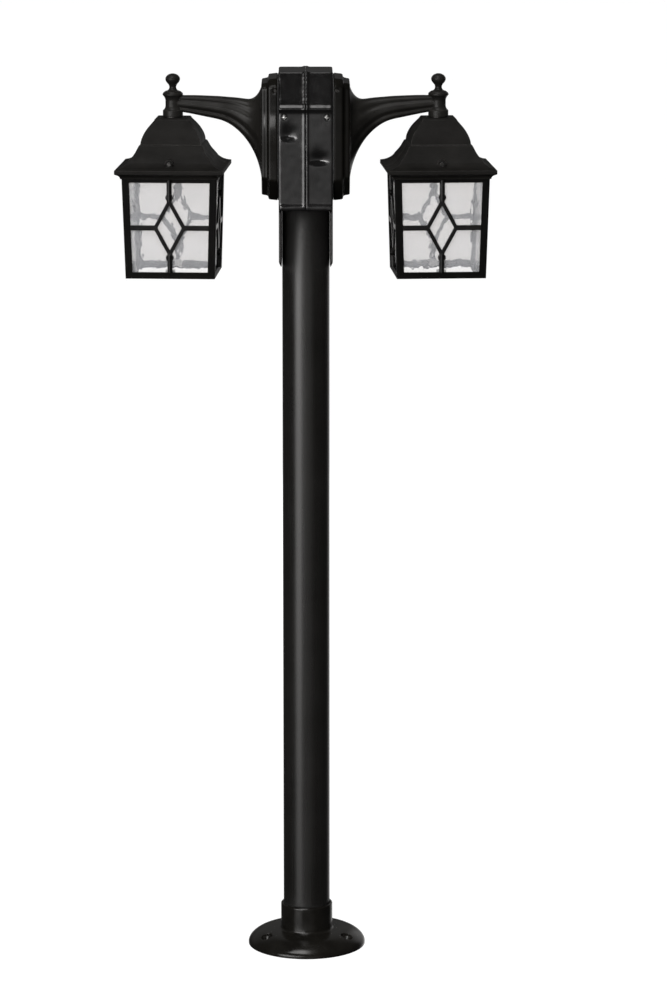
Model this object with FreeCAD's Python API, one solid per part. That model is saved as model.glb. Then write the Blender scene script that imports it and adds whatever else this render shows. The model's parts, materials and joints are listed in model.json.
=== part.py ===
import FreeCAD, Part
import math
import os

# Garden lamp post with two swivelling lanterns on cast arms.
# Millimetres. +Z is up, +Y points away from the front, +X to the right.
# The origin is the centre of the ground flange, on the ground.
# The right-hand half is modelled; the left-hand half is its mirror image.

V = FreeCAD.Vector
ORIGIN = V(0, 0, 0)
UP = V(0, 0, 1)
RIGHT = V(1, 0, 0)
BACK = V(0, 1, 0)

# ---------------------------------------------------------------- clearances
SLIP_FIT = 0.2          # tube in the collar and between the head shells
THREAD_GAP = 0.05       # a screw in its own hole
SWIVEL_GAP = 0.05       # stem nipple in the arm boss, on the radius
FACE_GAP = 0.1          # flat faces that slide over each other at the swivel
PANE_GAP = 0.3          # around each pane
RIM_GAP = 0.4           # lantern cage inside the roof rim
SWING_CLEARANCE = 15.3  # eave corner to back plate as a lantern turns

# ------------------------------------------------------------- ground flange
BASE_R = 76.0
BASE_RIM_H = 3.0
BASE_DOME_H = 20.3
BASE_FOOT_W = 9.0       # width of the ring that stands on the ground
BASE_RECESS_H = 8.0
COLLAR_WALL = 3.3
COLLAR_TOP = 55.0
COLLAR_ROUND = 2.0
COLLAR_FOOT_ROUND = 2.5
TUBE_SEAT_Z = 14.0
ENTRY_R = 22.0
ANCHOR_COUNT = 3
ANCHOR_HOLE_R = 4.5
ANCHOR_SINK_R = 8.0
ANCHOR_SINK_Z = 14.5
ANCHOR_EDGE = 16.0      # hole centre to the flange's rim
ANCHOR_BOSS_R = 10.0
ANCHOR_FIRST_DEG = 90.0
SET_SCREW_R = 3.0
SET_SCREW_Z = 38.0
SET_SCREW_DEGS = (60.0, 120.0)
SET_SCREW_SINK = 0.4
GROMMET_T = 6.0
GROMMET_LIP = 2.0
GROMMET_CABLE_R = 6.0

# ----------------------------------------------------------------- post tube
TUBE_R = 30.0
TUBE_WALL = 2.5
TUBE_LENGTH = 1022.0

# ---------------------------------------------------------------------- head
HEAD_WALL = 3.8         # side walls and cheeks
HEAD_SKIN = 3.0         # front, back and top
HEAD_GRIP = 140.0       # how far the cheeks reach down the tube
HEAD_SKIRT_DROP = 67.0  # tube top down to the lower edge of the front
HEAD_CREASE_RISE = 61.0
HEAD_TOP_RISE = 106.0
HEAD_DEPTH = 100.0
HEAD_TOP_DEPTH = 79.0
HEAD_EDGE_ROUND = 1.6
HEAD_FLOOR_T = 3.0
CHEEK_DEPTH = 76.0
CHEEK_BEVEL_X = 3.0
CHEEK_BEVEL_Z = 6.0
SEAM_LIP_W = 2.4
SEAM_LIP_PROUD = 1.3
HEM_H = 7.0
HEM_PROUD = 0.9
JOIN_SCREW_X = 26.5
JOIN_SCREW_DROP = 11.0  # below the crease
JOIN_HEAD_R = 3.75
JOIN_HEAD_H = 1.8
JOIN_SHANK_R = 2.0
JOIN_PLATE_H = 16.0
JOIN_PLATE_T = 2.5
CLAMP_BOLT_R = 3.0
CLAMP_HEAD_R = 5.0
CLAMP_HEAD_H = 4.0
CLAMP_NUT_R = 5.8
CLAMP_NUT_H = 5.0
CLAMP_DROPS = (32.0, 14.0)  # below the tube top

# --------------------------------------------------------------- back plates
GASKET_T = 1.0
GASKET_LAND = 6.0
PLATE_STEP_X = 12.0     # gasket to the step
PLATE_FACE_STEP_X = 8.5  # step to the outer face
PLATE_TOP_RISE = 98.3
PLATE_BOTTOM_DROP = 57.0
PLATE_DEPTH = 99.0
PLATE_TOP_CUT = 9.5
PLATE_BOTTOM_CUT = 27.0
PLATE_STEP_IN = 5.6
PLATE_DRAFT = 1.3
PLATE_WALL = 3.2
PLATE_EDGE = 0.8
PLATE_BOSS_R = 5.0
PLATE_SCREW_R = 2.2
PLATE_SCREW_Y = 30.0
PLATE_SCREW_RISE = 25.0
PLATE_SCREW_HEAD_R = 4.0
PLATE_SCREW_HEAD_H = 3.0
PLATE_SCREW_GRIP = 8.0
WIRE_HOLE_R = 5.0
GRUB_R = 1.9
GRUB_LENGTH = 5.0
GRUB_SINK = 0.5
GRUB_RISE = 83.5
GRUB_INSET_X = 3.4      # from the gasket

# ---------------------------------------------------------------------- arms
ARM_AXIS_RISE = 61.0    # tube top up to the arm's wire bore
ARM_WIRE_R = 3.5
ARM_TOP_RISE = 12.7     # above the axis, at the boss
ARM_TOP_DROP = 5.0
ARM_UNDER_DROP = 6.0    # below the axis, at the boss
ARM_UNDER_SLOPE = 0.205
ARM_HALF_WIDTH = 7.3
ARM_WIDENING = 0.05
ROOT_UNDER = (57.0, 75.0, 0.5)  # flare length, flare height, overrun into the plate
ROOT_TOP = (19.5, 34.0, 2.0)
ROOT_SIDE = (40.0, 30.0, 1.5)
FLUTE_DEPTH = 0.26
FLUTE_PLACE = 0.46
FLUTE_SPREAD = 0.17
ARM_SECTIONS = 11
ARM_SECTION_POINTS = 28
ARM_SCREW_DROPS = (13.0, 42.0)
ARM_SCREW_R = 2.5
ARM_SCREW_HEAD_R = 4.2
ARM_SCREW_HEAD_H = 3.0
ARM_SCREW_GRIP = 9.0

# ----------------------------------------------------- swivel boss and stem
BOSS_FLANGE_R = 12.65
BOSS_WAIST_R = 9.35
BOSS_TOP_RISE = 16.0
BOSS_BOTTOM_DROP = 14.0
STEM_R = 5.0
STEM_BORE_R = 3.2
STEM_LOW_DROP = 47.0
STEM_WINDOW_R = 2.6
WASHER_T = 0.8
WASHER_R = 12.0
FINIAL_STUD_LENGTH = 10.0
STEM_NUT_R = 8.6
STEM_NUT_H = 5.0

# ---------------------------------------------------------------------- roof
ROOF_T = 3.0
ROOF_RIM_DROP = 87.0    # arm axis down to the roof's lower rim
ROOF_INSET = (2.6, 1.5)  # the inside is the outside moved in and down
EAVE_OVERHANG = 8.3
EAVE_LOW = 6.2
EAVE_HIGH = 11.6
ROOF_SCREW_RISE = 18.5
ROOF_SCREW_R = 1.6
ROOF_SCREW_HEAD_R = 3.0
ROOF_SCREW_HEAD_H = 1.9
ROOF_BOSS_R = 4.4
ROOF_BOSS_REACH = 57.6
ROOF_HOOD_R = 5.7
ROOF_HOOD_REACH = 59.6

# ---------------------------------------------------------------------- cage
CAGE_TOP_HALF = 59.7    # half width at the roof's rim
CAGE_BOTTOM_HALF = 56.1
CAGE_HEIGHT = 125.7     # below the roof's rim
CAGE_RISE = 6.0         # above the rim, inside the roof
CAGE_WALL = 3.0
CAGE_CORNER_ROUND = 1.2
STILE_W = 9.0
RAIL_BOTTOM_H = 8.1
RAIL_TOP_H = 4.6
LEDGE_W = 11.0
LEDGE_T = 2.0
TAB_IN = 13.5           # tab face inside the cage's outer face
TAB_T = 2.5
TAB_W = 12.0
TAB_TOP_RISE = 22.3

# -------------------------------------------------------------------- panes
PANE_T = 3.0
CLIP_W = 12.0
CLIP_T = 2.4
CLIP_H = 9.0

# ------------------------------------------------------------------- grilles
BAR_W = 6.4
BAR_T = 2.6
DIAMOND_BAR_W = 4.8
DIAMOND_HALF_W = 20.6
DIAMOND_HALF_H = 38.2
DIAMOND_RISE = 64.3     # centre above the cage's foot
ROD_PROUD = 0.4
ROD_TOP_R = 3.3
ROD_LOW_R = 3.1
ROD_TOP_GAP = 1.0       # below the roof's rim
KNOB_TOP_R = 4.8
KNOB_TOP_RISE = 38.6
KNOB_LOW_R = 4.9
KNOB_LOW_DROP = 37.4
KNOB_PROUD = 1.8
KNOB_RING = (2.6, 3.5, 0.6)  # inner radius, outer radius, depth of the ring groove

# --------------------------------------------------------------- lampholders
HOLDER_R = 19.0
HOLDER_RIM_R = 20.5
HOLDER_RIM_H = 5.0
HOLDER_LENGTH = 46.0
HOLDER_NECK_R = 8.5
HOLDER_NECK_H = 5.0
HOLDER_CAVITY_DEPTH = 27.0
HOLDER_TOP_DROP = 34.0  # below the arm axis
LAMP_THREAD_R = 13.2
LAMP_SHELL_T = 0.7
LAMP_SHELL_LENGTH = 18.0
LAMP_SHELL_DEPTH = 3.0
CONTACT_R = 3.0
CONTACT_H = 4.0

# ------------------------------------------------------------ terminal block
BRACKET_T = 2.0
BRACKET_RISE = 12.0     # above the tube top
BRACKET_DEPTH = 72.0
BRACKET_STRAP_DEPTH = 26.0
BRACKET_EAR_H = 20.0
TERMINAL_SIZE = (42.0, 17.0, 16.0)
TERMINAL_WAYS = 3
TERMINAL_HOLE_R = 2.4

# ------------------------------------------------------------------ at rest
LANTERN_YAW_DEG = 3.5   # each lantern's inner side is turned a little forward

# ------------------------------------------------------------- derived sizes
ANCHOR_CIRCLE_R = BASE_R - ANCHOR_EDGE
COLLAR_BORE_R = TUBE_R + SLIP_FIT
COLLAR_R = COLLAR_BORE_R + COLLAR_WALL
TUBE_TOP = TUBE_SEAT_Z + TUBE_LENGTH
HEAD_INNER_X = TUBE_R + SLIP_FIT
HEAD_X = HEAD_INNER_X + HEAD_WALL
HEAD_TOP = TUBE_TOP + HEAD_TOP_RISE
HEAD_CREASE = TUBE_TOP + HEAD_CREASE_RISE
HEAD_SKIRT = TUBE_TOP - HEAD_SKIRT_DROP
HEAD_FOOT = TUBE_TOP - HEAD_GRIP
GASKET_X = HEAD_X
PLATE_X = GASKET_X + GASKET_T
PLATE_STEP = PLATE_X + PLATE_STEP_X
PLATE_FACE = PLATE_STEP + PLATE_FACE_STEP_X
AXIS_Z = TUBE_TOP + ARM_AXIS_RISE
EAVE_HALF = CAGE_TOP_HALF + EAVE_OVERHANG
REACH = PLATE_FACE + EAVE_HALF * math.sqrt(2) + SWING_CLEARANCE
BOSS_TOP = AXIS_Z + BOSS_TOP_RISE
BOSS_BOTTOM = AXIS_Z - BOSS_BOTTOM_DROP
ROOF_TOP = BOSS_BOTTOM - FACE_GAP - WASHER_T
ROOF_RIM = AXIS_Z - ROOF_RIM_DROP
ROOF_BORE_HALF = CAGE_TOP_HALF + RIM_GAP
CAGE_FOOT = ROOF_RIM - CAGE_HEIGHT
CAGE_HEAD = ROOF_RIM + CAGE_RISE
WINDOW_LOW = CAGE_FOOT + RAIL_BOTTOM_H
WINDOW_HIGH = ROOF_RIM - RAIL_TOP_H
DIAMOND_Z = CAGE_FOOT + DIAMOND_RISE
HOLDER_TOP = AXIS_Z - HOLDER_TOP_DROP
HOLDER_LOW = HOLDER_TOP - HOLDER_LENGTH
FAR = 200.0             # longer than any lantern part, for cutting prisms


# ------------------------------------------------------------------- helpers
def edge_through(points):
    """A line through two points, an arc through three, a smooth curve through more."""
    if len(points) == 2:
        return Part.LineSegment(*points).toShape()
    if len(points) == 3:
        return Part.Arc(*points).toShape()
    curve = Part.BSplineCurve()
    curve.interpolate(points)
    return curve.toShape()


def outline(start, *stretches):
    """A closed face in the XZ plane. Each stretch runs on from the last one's end:
    one point is a line to it, two are an arc, more are a smooth curve."""
    edges = []
    here = start
    for stretch in list(stretches) + [[start]]:
        points = [V(x, 0, z) for x, z in [here] + list(stretch)]
        edges.append(edge_through(points))
        here = stretch[-1]
    return Part.Face(Part.Wire(edges))


def lathe(start, *stretches):
    """The outline's (radius, height) points turned about the Z axis."""
    return outline(start, *stretches).revolve(ORIGIN, UP, 360)


def tube(r_out, r_in, z_low, z_high):
    return rod(r_out, z_low, z_high).cut(rod(r_in, z_low - 1, z_high + 1))


def rod(radius, z_low, z_high, x=0.0, y=0.0):
    return Part.makeCylinder(radius, z_high - z_low, V(x, y, z_low), UP)


def rod_x(radius, x_low, x_high, y, z):
    return Part.makeCylinder(radius, x_high - x_low, V(x_low, y, z), RIGHT)


def rod_y(radius, y_low, y_high, x, z):
    return Part.makeCylinder(radius, y_high - y_low, V(x, y_low, z), BACK)


def block(x_low, x_high, y_low, y_high, z_low, z_high):
    size = (x_high - x_low, y_high - y_low, z_high - z_low)
    return Part.makeBox(*size, V(x_low, y_low, z_low))


def polygon_face(points):
    return Part.Face(Part.makePolygon(points + [points[0]]))


def prism_x(yz_points, x_low, x_high):
    face = polygon_face([V(x_low, y, z) for y, z in yz_points])
    return face.extrude(V(x_high - x_low, 0, 0))


def prism_y(xz_points, y_low, y_high):
    face = polygon_face([V(x, y_low, z) for x, z in xz_points])
    return face.extrude(V(0, y_high - y_low, 0))


def hexagon(radius, z_low, z_high):
    corners = [turned(radius, 60.0 * i, z_low) for i in range(6)]
    return polygon_face(corners).extrude(V(0, 0, z_high - z_low))


def hexagon_x(radius, x_low, x_high, z):
    nut = hexagon(radius, x_low, x_high)
    nut.rotate(ORIGIN, BACK, 90)
    nut.translate(V(0, 0, z))
    return nut


def turned(radius, degrees, z):
    angle = math.radians(degrees)
    return V(radius * math.cos(angle), radius * math.sin(angle), z)


def mirrored(shape):
    return shape.mirror(ORIGIN, RIGHT)


def spun(shape, degrees):
    """A copy turned about the Z axis."""
    copy = shape.copy()
    copy.rotate(ORIGIN, UP, degrees)
    return copy


def group(shapes):
    return Part.makeCompound(list(shapes))


# ------------------------------------------------------------- ground flange
def base_flange():
    foot_in = BASE_R - BASE_FOOT_W
    crown = BASE_DOME_H
    shell = lathe(
        (ENTRY_R, 0),
        [(BASE_R, 0)],
        [(BASE_R, BASE_RIM_H)],
        [(BASE_R - 1.2, 6.2), (BASE_R - 6, 11.6), (BASE_R - 16, 17.1), (BASE_R - 31, 19.8),
         (COLLAR_R + COLLAR_FOOT_ROUND, crown)],
        [(COLLAR_R + 0.3 * COLLAR_FOOT_ROUND, crown + 0.3 * COLLAR_FOOT_ROUND),
         (COLLAR_R, crown + COLLAR_FOOT_ROUND)],
        [(COLLAR_R, COLLAR_TOP - COLLAR_ROUND)],
        [(COLLAR_R - 0.3 * COLLAR_ROUND, COLLAR_TOP - 0.3 * COLLAR_ROUND),
         (COLLAR_R - COLLAR_ROUND, COLLAR_TOP)],
        [(COLLAR_BORE_R, COLLAR_TOP)],
        [(COLLAR_BORE_R, TUBE_SEAT_Z)],
        [(ENTRY_R, TUBE_SEAT_Z)],
    )
    recess = tube(foot_in, COLLAR_R + COLLAR_WALL, -1, BASE_RECESS_H)
    for i in range(ANCHOR_COUNT):
        at = turned(ANCHOR_CIRCLE_R, anchor_angle(i), 0)
        recess = recess.cut(rod(ANCHOR_BOSS_R, -2, BASE_RECESS_H + 1, at.x, at.y))
    shell = shell.cut(recess)
    for i in range(ANCHOR_COUNT):
        at = turned(ANCHOR_CIRCLE_R, anchor_angle(i), 0)
        sink_depth = ANCHOR_SINK_R - ANCHOR_HOLE_R
        sink = Part.makeCone(ANCHOR_HOLE_R, ANCHOR_SINK_R, sink_depth,
                             V(at.x, at.y, ANCHOR_SINK_Z - sink_depth), UP)
        shell = shell.cut(rod(ANCHOR_HOLE_R, -1, BASE_DOME_H + 1, at.x, at.y))
        shell = shell.cut(sink.fuse(rod(ANCHOR_SINK_R, ANCHOR_SINK_Z, BASE_DOME_H + 1, at.x, at.y)))
    for angle in SET_SCREW_DEGS:
        shell = shell.cut(radial_rod(SET_SCREW_R + THREAD_GAP, COLLAR_BORE_R - 1,
                                     COLLAR_R + 1, SET_SCREW_Z, angle))
    return shell


def anchor_angle(i):
    return ANCHOR_FIRST_DEG + 360.0 * i / ANCHOR_COUNT


def radial_rod(radius, r_low, r_high, z, degrees):
    return spun(rod_x(radius, r_low, r_high, 0, z), degrees)


def base_set_screws():
    screws = []
    for angle in SET_SCREW_DEGS:
        screw = radial_rod(SET_SCREW_R, TUBE_R, COLLAR_R - SET_SCREW_SINK, SET_SCREW_Z, angle)
        socket = radial_rod(0.5 * SET_SCREW_R, COLLAR_R - 2.0, COLLAR_R + 1, SET_SCREW_Z, angle)
        tip = rod(TUBE_R, SET_SCREW_Z - 10, SET_SCREW_Z + 10)
        screws.append(screw.cut(socket).cut(tip))
    return group(screws)


def cable_grommet():
    """A rubber ring in the flange's entry, with a lip above and below its groove."""
    z = TUBE_SEAT_Z - GROMMET_T
    ring = tube(ENTRY_R, GROMMET_CABLE_R, z, TUBE_SEAT_Z)
    lip = tube(ENTRY_R + GROMMET_LIP, GROMMET_CABLE_R, TUBE_SEAT_Z, TUBE_SEAT_Z + GROMMET_LIP)
    return ring.fuse(lip).removeSplitter()


# ----------------------------------------------------------------- post tube
def post_tube():
    post = tube(TUBE_R, TUBE_R - TUBE_WALL, TUBE_SEAT_Z, TUBE_TOP)
    for drop in CLAMP_DROPS:
        hole = rod_x(CLAMP_BOLT_R + SLIP_FIT, -TUBE_R - 1, TUBE_R + 1, 0, TUBE_TOP - drop)
        post = post.cut(hole)
    return post


# ---------------------------------------------------------------------- head
def head_outline(grow, z_low):
    """The head seen from the side, moved outwards by grow on the front, back and top."""
    y_low, y_top = 0.5 * HEAD_DEPTH, 0.5 * HEAD_TOP_DEPTH
    rise, run = HEAD_TOP - HEAD_CREASE, y_low - y_top
    slope = math.hypot(rise, run)
    ny, nz = rise / slope, run / slope
    # the sloping side, moved along its normal, meets the moved front and the moved top
    front_y = y_low + grow
    crease_z = HEAD_CREASE + grow * (1 - ny) / nz
    top_z = HEAD_TOP + grow
    top_y = y_top + grow * (1 - nz) / ny
    return [(-front_y, z_low), (-front_y, crease_z), (-top_y, top_z),
            (top_y, top_z), (front_y, crease_z), (front_y, z_low)]


def head_shell():
    """The right-hand half of the head, open towards its partner."""
    body = prism_x(head_outline(0, HEAD_SKIRT), 0, HEAD_X)
    rounded = [e for e in body.Edges if abs(e.CenterOfMass.x - HEAD_X) < 1e-6
               and e.CenterOfMass.z > HEAD_SKIRT + 1]
    body = body.makeFillet(HEAD_EDGE_ROUND, rounded)
    lip = prism_x(head_outline(SEAM_LIP_PROUD, HEAD_SKIRT), 0, SEAM_LIP_W)
    hem_high = HEAD_SKIRT + HEM_H
    hem_y = 0.5 * HEAD_DEPTH + HEM_PROUD
    hem = prism_y([(0, HEAD_SKIRT), (HEAD_X - HEAD_EDGE_ROUND, HEAD_SKIRT),
                   (HEAD_X - HEAD_EDGE_ROUND, hem_high), (0, hem_high)], -hem_y, hem_y)
    hem_corners = [e for e in hem.Edges if abs(abs(e.CenterOfMass.y) - hem_y) < 1e-6
                   and abs(e.CenterOfMass.z - (HEAD_SKIRT + 0.5 * HEM_H)) > 1]
    hem = hem.makeFillet(0.9 * HEM_PROUD, hem_corners)
    cheek_y = 0.5 * CHEEK_DEPTH
    cheek = prism_y([(HEAD_INNER_X, HEAD_FOOT), (HEAD_X - CHEEK_BEVEL_X, HEAD_FOOT),
                     (HEAD_X, HEAD_FOOT + CHEEK_BEVEL_Z), (HEAD_X, HEAD_SKIRT + 1),
                     (HEAD_INNER_X, HEAD_SKIRT + 1)], -cheek_y, cheek_y)
    inside = prism_x(head_outline(-HEAD_SKIN, HEAD_SKIRT + HEAD_FLOOR_T), -1, HEAD_INNER_X)
    shell = body.fuse([lip, hem]).cut(inside).fuse(cheek)
    shell = shell.cut(rod(TUBE_R + SLIP_FIT, HEAD_FOOT - 1, HEAD_SKIRT + HEAD_FLOOR_T + 1))
    for y_side in (-1, 1):
        shell = shell.cut(join_bore(y_side, JOIN_SHANK_R + THREAD_GAP, FAR))
    for z in clamp_heights():
        shell = shell.cut(rod_x(CLAMP_BOLT_R + THREAD_GAP, 0, HEAD_X + 1, 0, z))
    for y in (-PLATE_SCREW_Y, PLATE_SCREW_Y):
        shell = shell.cut(rod_x(PLATE_SCREW_R + THREAD_GAP, 0, HEAD_X + 1, y, plate_screw_z()))
    shell = shell.cut(rod_x(WIRE_HOLE_R, 0, HEAD_X + 1, 0, AXIS_Z))
    return shell.removeSplitter()


def join_bore(y_side, radius, length):
    """A rod along Y at a joining screw, from inside the joining plate outwards."""
    z = HEAD_CREASE - JOIN_SCREW_DROP
    start = 0.5 * HEAD_DEPTH - HEAD_SKIN - JOIN_PLATE_T - 1
    low, high = sorted((y_side * start, y_side * (start + length)))
    return rod_y(radius, low, high, JOIN_SCREW_X, z)


def clamp_heights():
    return [TUBE_TOP - drop for drop in CLAMP_DROPS]


def plate_screw_z():
    return TUBE_TOP + PLATE_SCREW_RISE


def joining_plates():
    """Two strips inside the front and back that bridge the seam."""
    z = HEAD_CREASE - JOIN_SCREW_DROP
    half_x = HEAD_INNER_X - SLIP_FIT
    outer = 0.5 * HEAD_DEPTH - HEAD_SKIN
    plates = []
    for y_side in (-1, 1):
        low, high = sorted((y_side * (outer - JOIN_PLATE_T), y_side * outer))
        strip = block(-half_x, half_x, low, high, z - 0.5 * JOIN_PLATE_H, z + 0.5 * JOIN_PLATE_H)
        hole = join_bore(y_side, JOIN_SHANK_R + THREAD_GAP, FAR)
        plates.append(strip.cut([hole, mirrored(hole)]))
    return group(plates)


def joining_screws():
    """Dome-headed screws, two at the front and two at the back."""
    z = HEAD_CREASE - JOIN_SCREW_DROP
    face = 0.5 * HEAD_DEPTH
    inner = face - HEAD_SKIN - JOIN_PLATE_T
    screw = lathe((0, inner), [(JOIN_SHANK_R, inner)], [(JOIN_SHANK_R, face)], [(JOIN_HEAD_R, face)],
                  [(0.72 * JOIN_HEAD_R, face + 0.75 * JOIN_HEAD_H), (0, face + JOIN_HEAD_H)])
    slot = block(-0.4, 0.4, -FAR, FAR, face + 0.55 * JOIN_HEAD_H, face + 2 * JOIN_HEAD_H)
    screw = screw.cut([slot, spun(slot, 90)])
    screws = []
    for side, angle in ((1, 90), (-1, -90)):
        for x in (-JOIN_SCREW_X, JOIN_SCREW_X):
            copy = screw.copy()
            copy.rotate(ORIGIN, RIGHT, -angle)
            copy.translate(V(x, 0, z))
            screws.append(copy)
    return group(screws)


def clamp_bolts():
    bolts = []
    for z in clamp_heights():
        shank = rod_x(CLAMP_BOLT_R, -HEAD_X, HEAD_X + CLAMP_NUT_H + 1, 0, z)
        head = hexagon_x(CLAMP_HEAD_R, -HEAD_X - CLAMP_HEAD_H, -HEAD_X, z)
        bolts.append(shank.fuse(head))
    return group(bolts)


def clamp_nuts():
    nuts = []
    for z in clamp_heights():
        nut = hexagon_x(CLAMP_NUT_R, HEAD_X, HEAD_X + CLAMP_NUT_H, z)
        hole = rod_x(CLAMP_BOLT_R + THREAD_GAP, HEAD_X - 1, HEAD_X + CLAMP_NUT_H + 1, 0, z)
        nuts.append(nut.cut(hole))
    return group(nuts)


def terminal_bracket():
    """A strap across the head with an ear at each end under the plate screws."""
    z = TUBE_TOP + BRACKET_RISE
    end = HEAD_INNER_X
    strap = block(-end, end, -0.5 * BRACKET_STRAP_DEPTH, 0.5 * BRACKET_STRAP_DEPTH, z, z + BRACKET_T)
    ear = block(end - BRACKET_T, end, -0.5 * BRACKET_DEPTH, 0.5 * BRACKET_DEPTH, z, z + BRACKET_EAR_H)
    for y in (-PLATE_SCREW_Y, PLATE_SCREW_Y):
        ear = ear.cut(rod_x(PLATE_SCREW_R + THREAD_GAP, 0, end + 1, y, plate_screw_z()))
    return strap.fuse([ear, mirrored(ear)]).removeSplitter()


def terminal_block():
    long, deep, high = TERMINAL_SIZE
    z = TUBE_TOP + BRACKET_RISE + BRACKET_T
    body = block(-0.5 * long, 0.5 * long, -0.5 * deep, 0.5 * deep, z, z + high)
    pitch = long / TERMINAL_WAYS
    for i in range(TERMINAL_WAYS):
        x = (i - 0.5 * (TERMINAL_WAYS - 1)) * pitch
        body = body.cut(rod_y(TERMINAL_HOLE_R, -deep, deep, x, z + 0.35 * high))
        body = body.cut(rod(TERMINAL_HOLE_R, z + 0.6 * high, z + high + 1, x))
    for i in range(1, TERMINAL_WAYS):
        x = -0.5 * long + i * pitch
        body = body.cut(block(x - 0.6, x + 0.6, -deep, deep, z + 0.75 * high, z + high + 1))
    return body


# --------------------------------------------------------------- back plates
def octagon(inset):
    """The back plate's outline (y, z), moved inwards by inset. Its lower corners are cut deeper."""
    y = 0.5 * PLATE_DEPTH - inset
    low = TUBE_TOP - PLATE_BOTTOM_DROP + inset
    high = TUBE_TOP + PLATE_TOP_RISE - inset
    shrink = inset * (2 - math.sqrt(2))
    cut_low, cut_high = PLATE_BOTTOM_CUT - shrink, PLATE_TOP_CUT - shrink
    return [(-y, low + cut_low), (-y, high - cut_high), (-y + cut_high, high), (y - cut_high, high),
            (y, high - cut_high), (y, low + cut_low), (y - cut_low, low), (-y + cut_low, low)]


def drafted(inset_low, inset_high, x_low, x_high):
    wires = []
    for inset, x in ((inset_low, x_low), (inset_high, x_high)):
        points = [V(x, y, z) for y, z in octagon(inset)]
        wires.append(Part.makePolygon(points + [points[0]]))
    return Part.makeLoft(wires, True, True)


def outer_rim(solid, x):
    """The edges of the flat face at x."""
    return [e for e in solid.Edges if abs(e.BoundBox.XMin - x) < 1e-6 and abs(e.BoundBox.XMax - x) < 1e-6]


def backplate():
    broad = drafted(0, PLATE_DRAFT, PLATE_X, PLATE_STEP)
    broad = broad.makeChamfer(PLATE_EDGE, outer_rim(broad, PLATE_STEP))
    inset = PLATE_DRAFT + PLATE_STEP_IN
    narrow = drafted(inset - PLATE_DRAFT, inset, PLATE_STEP - 1, PLATE_FACE)
    narrow = narrow.makeChamfer(PLATE_EDGE, outer_rim(narrow, PLATE_FACE))
    hollow = prism_x(octagon(PLATE_DRAFT + PLATE_WALL), PLATE_X - 1, PLATE_STEP - PLATE_WALL)
    deep_hollow = prism_x(octagon(inset + PLATE_WALL), PLATE_X - 1, PLATE_FACE - PLATE_WALL)
    plate = broad.fuse(narrow).cut(hollow.fuse(deep_hollow))
    for y in (-PLATE_SCREW_Y, PLATE_SCREW_Y):
        post = rod_x(PLATE_BOSS_R, PLATE_X, PLATE_FACE - 1, y, plate_screw_z())
        hole = rod_x(PLATE_SCREW_R + THREAD_GAP, PLATE_X - 1, PLATE_X + PLATE_SCREW_GRIP + 1,
                     y, plate_screw_z())
        plate = plate.fuse(post).cut(hole)
    for z in arm_screw_heights():
        plate = plate.cut(rod_x(ARM_SCREW_R + THREAD_GAP, PLATE_X, PLATE_FACE + 1, 0, z))
    plate = plate.cut(rod_x(WIRE_HOLE_R, PLATE_X, PLATE_FACE + 1, 0, AXIS_Z))
    plate = plate.cut(grub(GRUB_R + THREAD_GAP, -1, GRUB_LENGTH + 2))
    return plate.removeSplitter()


def grub(radius, sink, length):
    """A rod into the front facet of the plate's broad step, starting sink below its face."""
    y = -0.5 * PLATE_DEPTH + PLATE_DRAFT * GRUB_INSET_X / PLATE_STEP_X + sink
    return rod_y(radius, y, y + length, PLATE_X + GRUB_INSET_X, TUBE_TOP + GRUB_RISE)


def grub_screws():
    screw = grub(GRUB_R, GRUB_SINK, GRUB_LENGTH).cut(grub(0.5 * GRUB_R, 0, GRUB_SINK + 1.5))
    return group([screw, mirrored(screw)])


def gasket():
    land = prism_x(octagon(0.5), GASKET_X, PLATE_X)
    return land.cut(prism_x(octagon(GASKET_LAND), GASKET_X - 1, PLATE_X + 1))


def plate_screws():
    screws = []
    for y in (-PLATE_SCREW_Y, PLATE_SCREW_Y):
        seat = HEAD_INNER_X - BRACKET_T
        head = rod_x(PLATE_SCREW_HEAD_R, seat - PLATE_SCREW_HEAD_H, seat, y, plate_screw_z())
        head = head.makeFillet(0.8, [e for e in head.Edges if e.BoundBox.XMax < seat - 1])
        shank = rod_x(PLATE_SCREW_R, seat, PLATE_X + PLATE_SCREW_GRIP, y, plate_screw_z())
        screws.append(head.fuse(shank).removeSplitter())
    return group(screws)


# ---------------------------------------------------------------------- arms
def arm_screw_heights():
    return [AXIS_Z - drop for drop in ARM_SCREW_DROPS]


def arm_screws():
    screws = []
    for z in arm_screw_heights():
        seat = PLATE_FACE - PLATE_WALL
        head = rod_x(ARM_SCREW_HEAD_R, seat - ARM_SCREW_HEAD_H, seat, 0, z)
        shank = rod_x(ARM_SCREW_R, seat, PLATE_FACE + ARM_SCREW_GRIP, 0, z)
        screws.append(head.fuse(shank).removeSplitter())
    return group(screws)


def flare(x, sizes):
    """A quarter ellipse that swells from nothing to its full height at the plate."""
    length, height, overrun = sizes
    t = (length - (x - PLATE_FACE + overrun)) / length
    return height * (1 - math.sqrt(1 - t * t)) if t > 0 else 0.0


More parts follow.
